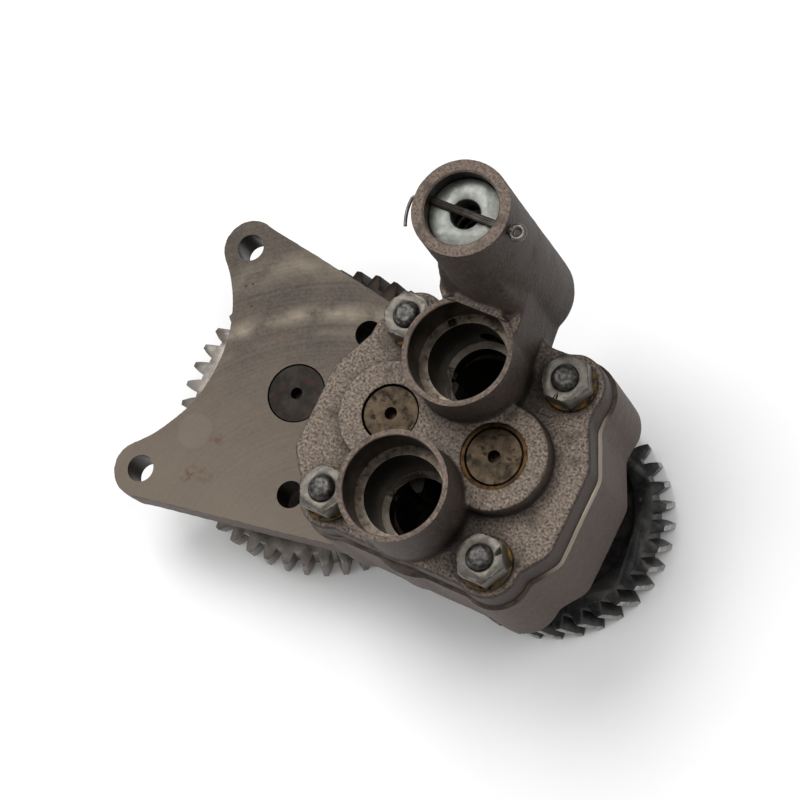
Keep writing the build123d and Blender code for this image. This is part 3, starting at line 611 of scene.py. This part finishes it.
# %% Levels and radii of the machined features
boss_z, rim_z, tower_z = 65, 86.5, 136
upper_ledge_z, lower_ledge_z = 72, 50
passage_z, spill_z, pin_z = 55.5, 67.5, 131.3
seat_z = 61
socket_r, ledge_r, throat_r = 18.4, 15, 12.2
bush_r, spindle_r, idler_shaft_r = 12.5, 11, 12
valve_r, seat_r = 13.2, 8
stud_r, dowel_r, bolt_r = 5, 4, 5.5
chamber_r, port_r = 25.18, 13
print("socket", 2 * socket_r, "mm wide, bolt holes", 2 * bolt_r, "mm")

# %% [markdown]
# ## The skin of a casting
# A sand casting has no sharp edge and no true flat: corners are rounded by a millimetre or so and
# faces wave slightly. The CAD solid has sharp edges and true flats. So its copy has its bores
# plugged and its machined faces raised, is rebuilt in small even squares, smoothed until its
# edges are round, and waved a little. The machining comes after that, as in a real shop, and
# stays sharp.

# %% Plug, rebuild, smooth and wave
def raise_faces(piece, test, lift):
    """Moves the vertices that pass a test up or down, to leave iron for machining."""
    edit(piece, test)
    bpy.ops.transform.translate(value=(0, 0, lift * mm))
    bpy.ops.object.mode_set(mode="OBJECT")


def cast_skin(piece, plugs, square, rounds, finish):
    """Turns a piece and its plugs into one cast surface."""
    only(piece, *plugs)
    bpy.ops.object.join()
    modify(piece, "REMESH", mode="VOXEL", voxel_size=square * mm)
    modify(piece, "SMOOTH", factor=0.5, iterations=rounds)
    wave = bpy.data.textures.new("casting_wave", "CLOUDS")
    wave.noise_scale = 11 * mm
    wave = {"texture": wave, "texture_coords": "LOCAL", "mid_level": 0.5}
    modify(piece, "DISPLACE", strength=0.5 * mm, **wave)
    only(piece)
    bpy.ops.object.shade_smooth()
    piece.data.materials.clear()
    piece.data.materials.append(finish)
    report(piece)


touch = 0.01
machining = 1.3
print("iron left for machining:", machining, "mm")

# %% [markdown]
# ## The cover casting
# The cover carries two pipe sockets, the boss of the two spindles and the tower of the relief
# valve. Its joint, the rims, the bores and the tower's mouth are machined, and the rest is as
# cast. Each plug is a little wider than its bore, so that no thin skin is left between them.

# %% Cast the cover
cover = copy_node("pump_cover", "cover_casting")
raise_faces(cover, lambda co: co.z < joint_z + touch, -machining)
raise_faces(cover, lambda co: abs(co.z - rim_z) < touch, machining)
raise_faces(cover, lambda co: co.z > tower_z - touch, machining)
low_z = joint_z - machining
plugs = [rod(x, y, 18.9, low_z, rim_z + machining) for x, y in sockets]
plugs += [rod(*drive_axis, 13.2, low_z, boss_z), rod(*driven_axis, 11.7, low_z, boss_z)]
plugs += [rod(*tower_axis, 14.0, low_z, tower_z + machining)]
plugs += [rod(x, y, 5.6, low_z, 57) for x, y in studs]
plugs += [rod(x, y, 4.6, low_z, 53) for x, y in dowels]
plugs += [lay(rod(0, 0, 5.1, 0, 17.2), (-90, 0, 0), (*tower_axis, spill_z))]
plugs += [lay(rod(0, 0, 2.0, -17.2, 17.2), (0, 90, 0), (*tower_axis, pin_z))]
cast_skin(cover, plugs, square=0.85, rounds=3, finish=sand_cast_iron)

# %% [markdown]
# Each socket is bored in steps: the pipe's bore down to a full ledge, a narrower bore down to a
# half ledge, and the throat. The half ledge lies on the side away from the middle of the pump, so
# the wide cutter below it has that half sliced off first. The upper socket's rim runs into the
# tower, so its rim cutter stops short of the tower's wall.

# %% Bore the sockets
slice_off(cover, (0, 0, joint_z), (0, 0, -1), faced_iron)
under_z = joint_z - 2
tower_side_y = 45.2
for (x, y), side in zip(sockets, (1, -1)):
    rim_cutter = rod(x, y, 22.5, rim_z, rim_z + 4, fettled_iron)
    if side == 1:
        slice_off(rim_cutter, (0, tower_side_y, 0), (0, 1, 0), fettled_iron)
    half_cutter = rod(x, y, ledge_r, under_z, lower_ledge_z, bored_iron)
    slice_off(half_cutter, (0, y, 0), (0, side, 0), bored_iron)
    cut(
        cover,
        rim_cutter,
        rod(x, y, socket_r, upper_ledge_z, rim_z + 0.2, bored_iron),
        rod(x, y, 18.2, rim_z - 0.6, rim_z + 0.2, fettled_iron, top_radius=18.9),
        # Painted shade: the bore between the ledges is near black
        rod(x, y, ledge_r, lower_ledge_z, upper_ledge_z + 0.5, shade_black_iron),
        half_cutter,
        rod(x, y, throat_r, under_z, lower_ledge_z + 0.5, bored_iron),
    )
report(cover)

# %% Bore the boss and the tower
cut(
    cover,
    rod(*drive_axis, bush_r, under_z, boss_z + 2, bored_iron),
    rod(*driven_axis, spindle_r, under_z, boss_z + 2, bored_iron),
    rod(*tower_axis, 20, tower_z, tower_z + 4, fettled_iron),
    rod(*tower_axis, valve_r, seat_z, tower_z + 2, bored_iron),
    rod(*tower_axis, 13.0, tower_z - 0.8, tower_z + 0.2, fettled_iron, top_radius=14.0),
    rod(*tower_axis, seat_r, 49.5, seat_z + 1, bored_iron),
    [rod(x, y, stud_r, under_z, 60, bored_iron) for x, y in studs]
    + [rod(x, y, dowel_r, under_z, 52, bored_iron) for x, y in dowels],
)
report(cover)

# %% [markdown]
# The holes that lie across come last: a small notch in the upper ledge, the passage from the
# upper socket to the valve, the spill hole in the tower's far side, and the pin's holes.

# %% Drill the cover
passage_length = tower_axis[1] - sockets[0][1]
notch = block((15.2, -1.5, -3), (18.2, 1.5, 3), bored_iron)
cut(
    cover,
    lay(notch, (0, 0, 137), (*sockets[0], upper_ledge_z)),
    lay(rod(0, 0, 5, 0, passage_length, bored_iron), (90, 0, 0), (*tower_axis, passage_z)),
    lay(rod(0, 0, 4.5, 0, 22, bored_iron), (-90, 0, 0), (*tower_axis, spill_z)),
    lay(rod(0, 0, 1.4, -22, 22, bored_iron, sides=32), (0, 90, 0), (*tower_axis, pin_z)),
)
# The upper ledges are stained; the lower ones, deep in the bores, get the pale faced finish as a
# painted highlight
for ledge_z, finish in ((upper_ledge_z, stained_iron), (lower_ledge_z, faced_iron)):
    finish_faces(cover, finish, lambda co, facing: facing.z > 0.99 and abs(co.z - ledge_z) < 0.02)
report(cover)
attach(cover, "casing")
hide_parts("pump_cover")

# %% [markdown]
# ## The body casting
# The body and its mounting plate are one casting. It is made in the same way: plug, rebuild,
# smooth, and then machine. Its milled faces are the joint, the front of the plate, and the ring of
# pads and ribs at the back, which a mill cuts round the bearing bosses.

# %% Cast the body
body = copy_node("pump_body", "body_casting")
pads_z, end_z = 0, -14.5
face_stock = 0.9
raise_faces(body, lambda co: abs(co.z - joint_z) < touch, machining)
raise_faces(body, lambda co: abs(co.z - plate_z) < touch, face_stock)
raise_faces(body, lambda co: abs(co.z - pads_z) < touch, -machining)
raise_faces(body, lambda co: abs(co.z - end_z) < touch, -machining)
top_z, front_z = joint_z + machining, plate_z + face_stock
bolt_holes = [(0, 49.5), (0, -49.5), (63.2, 35), (63.2, -35)]
ports = [(pump_x, line_y + side * 24) for side in (1, -1)]
plugs = [rod(*drive_axis, 25.8, 10, top_z), rod(*driven_axis, 25.8, 10, top_z)]
plugs += [rod(x, y, 13.6, plate_z, top_z) for x, y in ports]
plugs += [rod(*drive_axis, 13.2, end_z - machining, 12), rod(*driven_axis, 11.7, -4, 12)]
plugs += [rod(*idler_axis, 12.7, end_z - machining, front_z)]
plugs += [rod(x, y, 6.2, pads_z - machining, front_z) for x, y in bolt_holes]
plugs += [rod(x, y, 5.6, 18, top_z) for x, y in studs]
plugs += [rod(x, y, 4.6, 33, top_z) for x, y in dowels]
cast_skin(body, plugs, square=0.95, rounds=4, finish=oiled_cast_iron)

# %% [markdown]
# The mill that faces the plate has to stop at the casing's wall, and at the back it has to go
# round the bosses. So each cutter is a slab with those shapes taken out first. The blocks and
# wedges of the front follow the wall in steps: past the studs' bosses, along the flat side, and
# out to the plate's edges.

# %% Mill the front of the plate
def wedge(low, high, near_y, shift):
    """A block whose left edge is moved in at one of its two ends."""
    made = block(low, high)
    edit(made, lambda co: co.x < low[0] + 1 and abs(co.y - near_y) < 1)
    bpy.ops.transform.translate(value=(shift * mm, 0, 0))
    bpy.ops.object.mode_set(mode="OBJECT")
    return made


front_mill = block((-20, -66, plate_z), (112, 66, plate_z + 4), milled_iron)
cut(
    front_mill,
    *[rod(x, y, 14.8, 12, 20) for x, y in studs[:2]],
    block((72.8, -22, 12), (130, 13, 20)),
    wedge((72.8, 12.5, 12), (130, 29, 20), 29, 7.6),
    wedge((72.8, -33.5, 12), (130, -21.5, 20), -33.5, 8.0),
    block((80.6, 28.5, 11), (130, 42, 21)),
    wedge((83.5, 41.5, 12), (130, 56, 20), 56, 9.0),
    block((81.5, -41, 11), (130, -33, 21)),
    wedge((84.0, -52, 12), (130, -40.5, 20), -52, 9.5),
)
report(front_mill)

# %% Mill the joint, the pads and the ends of the bosses
back_mill = block((-20, -66, -4), (200, 66, pads_z), milled_iron)
cut(
    back_mill,
    rod(*drive_axis, 20.5, -6, 2),
    rod(*idler_axis, 20.5, -6, 2),
    rod(*driven_axis, 17.5, -6, 2),
)
slice_off(body, (0, 0, joint_z), (0, 0, 1), lapped_iron)
slice_off(body, (0, 0, end_z), (0, 0, -1), milled_iron)
cut(body, front_mill, back_mill)
report(body)

# %% Bore the body
above_z, floor_z = joint_z + 2, 12
cut(
    body,
    rod(*drive_axis, chamber_r, 11, above_z, bored_iron),
    rod(*driven_axis, chamber_r, 11, above_z, bored_iron),
    [rod(x, y, port_r, 15, above_z, bored_iron) for x, y in ports]
    + [rod(*idler_axis, idler_shaft_r, end_z - 2, plate_z + 2, bored_iron)],
    [
        rod(*drive_axis, bush_r, end_z - 2, floor_z, bored_iron),
        rod(*driven_axis, spindle_r, -3, floor_z, bored_iron),
    ],
    [rod(x, y, bolt_r, -3, plate_z + 3, bored_iron, sides=64) for x, y in bolt_holes]
    + [rod(x, y, stud_r, 19, above_z, bored_iron, sides=64) for x, y in studs]
    + [rod(x, y, dowel_r, 34, above_z, bored_iron, sides=64) for x, y in dowels],
)
report(body)
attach(body, "casing")
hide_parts("pump_body")

# %% [markdown]
# ## Gears, nuts and washers with broken edges
# A machinist never leaves a sharp edge: after hobbing or turning, every corner is broken with a
# file or a small chamfer, and that thin bright line is what makes steel look real. The CAD shapes
# are right but for that, so each one's merged copy has its flat faces joined and its corners
# bevelled by a few tenths of a millimetre. A gear's tips were turned before its teeth were cut,
# and they are what hands and benches rub, so the faces near the tip circle are brighter.

# %% Break the edges of the timing gears
def broken_edges(node, name, width, body_name, finish):
    """A copy of a CAD node with bevelled corners, which stands for the node."""
    piece = copy_node(node, name)
    edit(piece)
    bpy.ops.mesh.dissolve_limited(angle_limit=radians(0.5))
    bpy.ops.object.mode_set(mode="OBJECT")
    sharp = radians(35)
    corners = {"segments": 2, "limit_method": "ANGLE", "use_clamp_overlap": False}
    modify(piece, "BEVEL", width=width * mm, angle_limit=sharp, **corners)
    only(piece)
    bpy.ops.object.shade_smooth_by_angle(angle=sharp)
    piece.data.materials.append(finish)
    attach(piece, body_name)
    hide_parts(node)
    report(piece)
    return piece


drive_teeth = broken_edges(
    "drive_gear", "drive_gear_teeth", 0.3, "drive_line", hardened_steel
)
idler_teeth = broken_edges(
    "idler_gear", "idler_gear_teeth", 0.3, "idler", oil_and_shade_steel
)
for teeth, axis, tip_r, finish in (
    (drive_teeth, drive_axis, 46.3, worn_steel),
    (idler_teeth, idler_axis, 61.9, hobbed_steel),
):
    middle = Vector((*axis, 0))
    finish_faces(teeth, finish, lambda co, facing: (co - middle).xy.length > tip_r)
    print(teeth.name, "tips are past", tip_r, "mm")

# %% [markdown]
# The nuts, the washers, the gear's nut and the relief cap are made in the same way. Pressed and
# turned parts have rounder corners than a hobbed gear, so their bevels are a little wider.

# %% Nuts, washers and cap
for node, name, width, body_name, finish, slot_name in (
    ("cover_nuts", "cover_nuts_plated", 0.35, "casing", zinc_plated_steel, "zinc_steel"),
    ("cover_washers", "cover_washers_pressed", 0.4, "casing", yellow_zinc_steel, "zinc_steel"),
    ("drive_gear_nut", "drive_gear_nut_plated", 0.4, "drive_line", zinc_plated_steel, "zinc_steel"),
    ("relief_cap", "relief_cap_turned", 0.5, "casing", ground_steel, "bright_steel"),
):
    broken_edges(node, name, width, body_name, finish)

# %% [markdown]
# ## Studs with domed ends
# A stud is a rod threaded at both ends, black from hardening, with a rounded end above the nut.
# Only that end shows, so a stud is a cylinder whose edges are bevelled into a dome. The other
# three are copies of the first.

# %% Turn one stud and copy it
domed_studs = rod(*studs[0], stud_r, 19, 69.4, sides=48)
domed_studs.name = "cover_studs_domed"
dome = {"segments": 7, "limit_method": "ANGLE", "angle_limit": radians(60)}
modify(domed_studs, "BEVEL", width=2.3 * mm, **dome)
stud_copies = []
for x, y in studs[1:]:
    only(domed_studs)
    bpy.ops.object.duplicate()
    shift = (x - studs[0][0], y - studs[0][1], 0)
    stud_copies.append(lay(bpy.context.object, (0, 0, 0), shift))
only(domed_studs, *stud_copies)
bpy.ops.object.join()
bpy.ops.object.shade_smooth_by_angle(angle=radians(40))
domed_studs.data.materials.append(blackened_steel)
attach(domed_studs, "casing")
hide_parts("cover_studs")
report(domed_studs)

# %% [markdown]
# ## The split pin
# A split pin is bent from half-round wire, with its flat sides together, so a fine gap runs along
# it, and its eye is about as thick as the pin. The copy of the CAD pin gets a slot along its top
# and a thicker eye.

# %% Slot the pin and thicken its eye
pin = copy_node("relief_split_pin", "relief_split_pin_wire")
eye_x = tower_axis[0] + 18.4
edit(pin, lambda co: co.x > eye_x)
bpy.ops.transform.shrink_fatten(value=0.45 * mm)
bpy.ops.object.mode_set(mode="OBJECT")
half_length, half_gap = 16.5, 0.15
gap_low = (tower_axis[0] - half_length, tower_axis[1] - half_gap, pin_z + 0.1)
gap_high = (tower_axis[0] + half_length, tower_axis[1] + half_gap, pin_z + 3)
cut(pin, block(gap_low, gap_high))
only(pin)
bpy.ops.object.shade_smooth_by_angle(angle=radians(40))
pin.data.materials.clear()
pin.data.materials.append(tempered_steel)
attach(pin, "casing")
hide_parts("relief_split_pin")
report(pin)

# %% [markdown]
# ## The relief spring
# The spring stands in the hollow plunger and pushes against the cap. As the plunger lifts, the
# spring shortens towards the cap, so its lower end stays on the plunger's floor. The CAD shape is
# right, so its copy is only shaded smooth, finished, and given a mesh of its own.

# %% Copy the spring
spring = copy_node("relief_spring", "relief_spring_coiled")
only(spring)
bpy.ops.object.shade_smooth()
spring.data.materials.append(tempered_steel)
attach(spring, "casing")
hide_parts("relief_spring")
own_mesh(spring)
report(spring)

# %% [markdown]
# ## Finishes for the CAD nodes
# Nodes whose shape is already right keep it and only get a finish: their first material slot is
# filled. The object itself is neither moved nor changed. A node that a dressed piece stands for
# gets the same finish as that piece.

# %% Give every node its finish
finishes = {
    "pump_body": oiled_cast_iron,
    "pump_cover": sand_cast_iron,
    "cover_studs": blackened_steel,
    "cover_washers": yellow_zinc_steel,
    "cover_nuts": zinc_plated_steel,
    "cover_dowels": ground_steel,
    "cover_bush": bearing_bronze,
    "body_bush": bearing_bronze,
    "driven_spindle": oily_ground_steel,
    "idler_shaft": dark_ground_steel,
    "idler_front_washer": ground_steel,
    "idler_back_washer": ground_steel,
    "idler_clip": tempered_steel,
    "relief_cap": ground_steel,
    "relief_spring": tempered_steel,
    "relief_split_pin": tempered_steel,
    "drive_shaft": oily_ground_steel,
    "pump_gear_key": ground_steel,
    "drive_gear_key": ground_steel,
    "pump_driving_gear": hobbed_steel,
    "pump_driven_gear": hobbed_steel,
    "drive_gear": hardened_steel,
    "drive_gear_washer": tempered_steel,
    "drive_gear_nut": zinc_plated_steel,
    "driven_gear_bush": bearing_bronze,
    "idler_gear": oil_and_shade_steel,
    "idler_bush": bearing_bronze,
    "relief_plunger": ground_steel,
}
for name, material in finishes.items():
    materials = nodes[name].data.materials
    materials.clear()
    materials.append(material)
print("finished nodes:", len(finishes))
